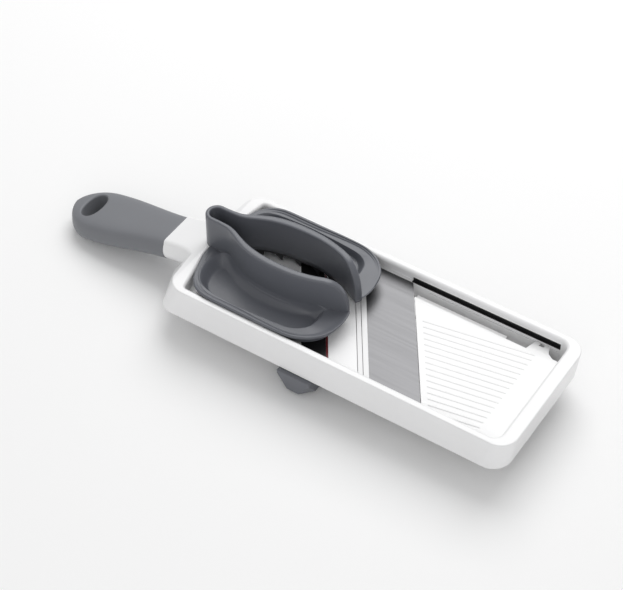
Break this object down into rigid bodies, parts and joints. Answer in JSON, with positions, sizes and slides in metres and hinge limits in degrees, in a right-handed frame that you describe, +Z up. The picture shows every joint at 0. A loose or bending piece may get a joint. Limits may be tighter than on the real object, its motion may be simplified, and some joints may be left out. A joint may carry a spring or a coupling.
{
  "type": "mandoline slicer",
  "caption": "Hand-held mandoline slicer: white railed tray on a grey grip, skewed steel blade, ridged ramp plate set by a knob, and a grey finger-guard food holder.",
  "frame": {"origin": "centre of the underside of the foot at the tray's far end", "axes": "+X along the tray from the handle to the far end, +Y to the side away from the knob, +Z up, square to the deck"},
  "size_m": [0.3925, 0.116, 0.0706],
  "materials": {
    "white_body": "satin",
    "white_parts": "satin",
    "ramp_white": "satin, ridged",
    "grip_grey": "soft-touch matte",
    "holder_grey": "fine matte",
    "knob_grey": "fine matte",
    "blade_steel": "fine ground",
    "steel": "plain",
    "black_plastic": "matte",
    "red_plastic": "satin",
    "acetal": "natural",
    "foot_rubber": "matte"
  },
  "bodies": {
    "tray": {"tray_frame": "white_body", "handle_grip": "grip_grey", "end_foot": "foot_rubber", "rail_strip_far": "black_plastic", "rail_strip_near": "black_plastic", "blade_seat": "white_parts", "clamp_strip": "white_parts", "slicing_blade": "blade_steel", "blade_screws": "steel", "deck_insert": "black_plastic", "deck_insert_stripe": "red_plastic", "guide_bar_left": "white_parts", "guide_bar_right": "white_parts", "shaft_bush": "acetal", "click_spring": "steel"},
    "ramp": {"ramp_plate": "ramp_white", "ramp_feet": "acetal"},
    "slider": {"wedge_slider": "acetal"},
    "knob": {"adjuster_knob": "knob_grey", "knob_shaft": "steel", "knob_screw": "steel", "drive_pinion": "acetal", "click_disc": "acetal"},
    "holder": {"food_holder": "holder_grey", "tooth_comb_far": "black_plastic", "tooth_comb_near": "black_plastic", "holder_glides": "acetal"}
  },
  "joints": [
    {"name": "knob_turn", "type": "hinge", "parent": "tray", "child": "knob", "pos_m": [-0.1547, -0.0424, 0], "axis": [0, 0, 1], "range_deg": [0, 180]},
    {"name": "slider_stroke", "type": "slide", "parent": "tray", "child": "slider", "axis": [-1, 0, 0], "range_m": [0, 0.01697]},
    {"name": "ramp_drop", "type": "slide", "parent": "tray", "child": "ramp", "axis": [0, 0, -1], "range_m": [0, 0.004]},
    {"name": "holder_slide", "type": "slide", "parent": "tray", "child": "holder", "axis": [1, 0, 0], "range_m": [0, 0.13]}
  ],
  "couplings": [
    {"joint": "slider_stroke", "follows": "knob_turn", "m_per_rad": 0.0054},
    {"joint": "ramp_drop", "follows": "knob_turn", "m_per_rad": 0.0012732}
  ]
}
